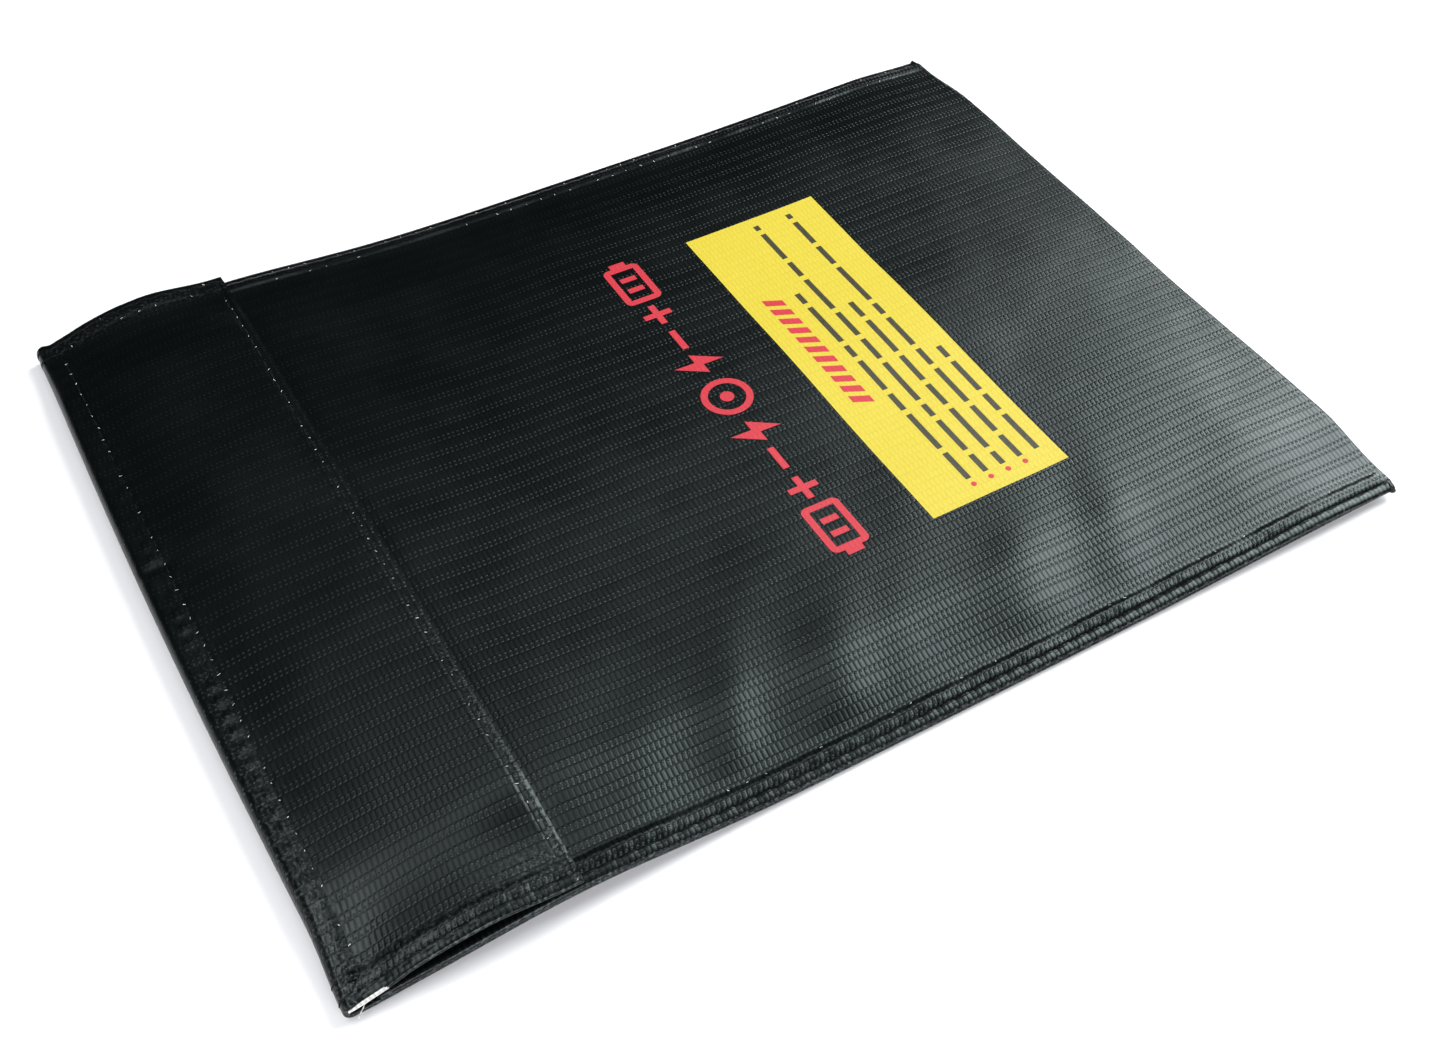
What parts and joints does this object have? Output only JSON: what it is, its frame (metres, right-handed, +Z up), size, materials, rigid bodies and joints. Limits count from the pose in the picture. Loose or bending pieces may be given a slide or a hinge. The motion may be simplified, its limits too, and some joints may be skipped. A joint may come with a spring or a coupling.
{
  "type": "battery charging safe bag",
  "caption": "Flat sewn pouch of coated glass cloth with a fold-over flap closed by hook and loop tape, to hold lithium batteries while they charge.",
  "frame": {"origin": "middle of the face that the bag lies on, under the middle of its length and width", "axes": "+X from the flap's fold to the closed end, +Y from the near side seam to the far one as the print is read from left to right, +Z up out of the printed front"},
  "size_m": [0.3, 0.23, 0.0108],
  "materials": {
    "coated_cloth": "woven glass cloth under a black coating, ribbed and semi-gloss",
    "glass_liner": "bare white glass cloth, matt with a slight gleam",
    "hook_tape": "stiff hooks on a woven tape",
    "loop_tape": "brushed loop pile on a woven tape",
    "thread": "twisted sewing thread with a slight gleam",
    "print_yellow": "screen print, satin, with the weave showing through",
    "print_red": "screen print, satin",
    "print_dark": "screen print, satin"
  },
  "bodies": {
    "bag": {"back_cloth": "coated_cloth", "back_liner": "glass_liner", "far_front_margin": "coated_cloth", "far_seam_bobbin_thread": "thread", "far_seam_hem": "coated_cloth", "far_seam_needle_thread": "thread", "near_front_margin": "coated_cloth", "near_seam_bobbin_thread": "thread", "near_seam_hem": "coated_cloth", "near_seam_needle_thread": "thread"},
    "fold": {"fold_cloth": "coated_cloth", "fold_liner": "glass_liner", "fold_side_thread": "thread"},
    "flap": {"flap_cloth": "coated_cloth", "flap_far_hem": "coated_cloth", "flap_liner": "glass_liner", "flap_near_hem": "coated_cloth", "flap_side_bobbin_thread": "thread", "flap_side_needle_thread": "thread", "flap_tape_bobbin_thread": "thread", "flap_tape_needle_thread": "thread", "hook_tape": "hook_tape"},
    "front_wall": {"front_cloth": "coated_cloth", "front_liner": "glass_liner", "loop_tape": "loop_tape", "loop_tape_bobbin_thread": "thread", "loop_tape_needle_thread": "thread", "mouth_bobbin_thread": "thread", "mouth_hem": "coated_cloth", "mouth_needle_thread": "thread", "print_bars": "print_dark", "print_bullets": "print_red", "print_heading": "print_red", "print_marks": "print_red", "print_panel": "print_yellow"}
  },
  "joints": [
    {"name": "flap_hinge", "type": "hinge", "parent": "fold", "child": "flap", "pos_m": [-0.1493, 0, 0.0098], "axis": [0, -1, 0], "range_deg": [0, 90]},
    {"name": "fold_hinge", "type": "hinge", "parent": "bag", "child": "fold", "pos_m": [-0.1493, 0, 0.0007], "axis": [0, -1, 0], "range_deg": [0, 90]},
    {"name": "mouth_hinge", "type": "hinge", "parent": "bag", "child": "front_wall", "pos_m": [0.14665, 0, 0.00335], "axis": [0, 1, 0], "range_deg": [0, 6.3]}
  ],
  "couplings": [
    {"joint": "fold_hinge", "follows": "flap_hinge", "ratio": 1},
    {"joint": "mouth_hinge", "follows": "flap_hinge", "ratio": 0.07}
  ]
}
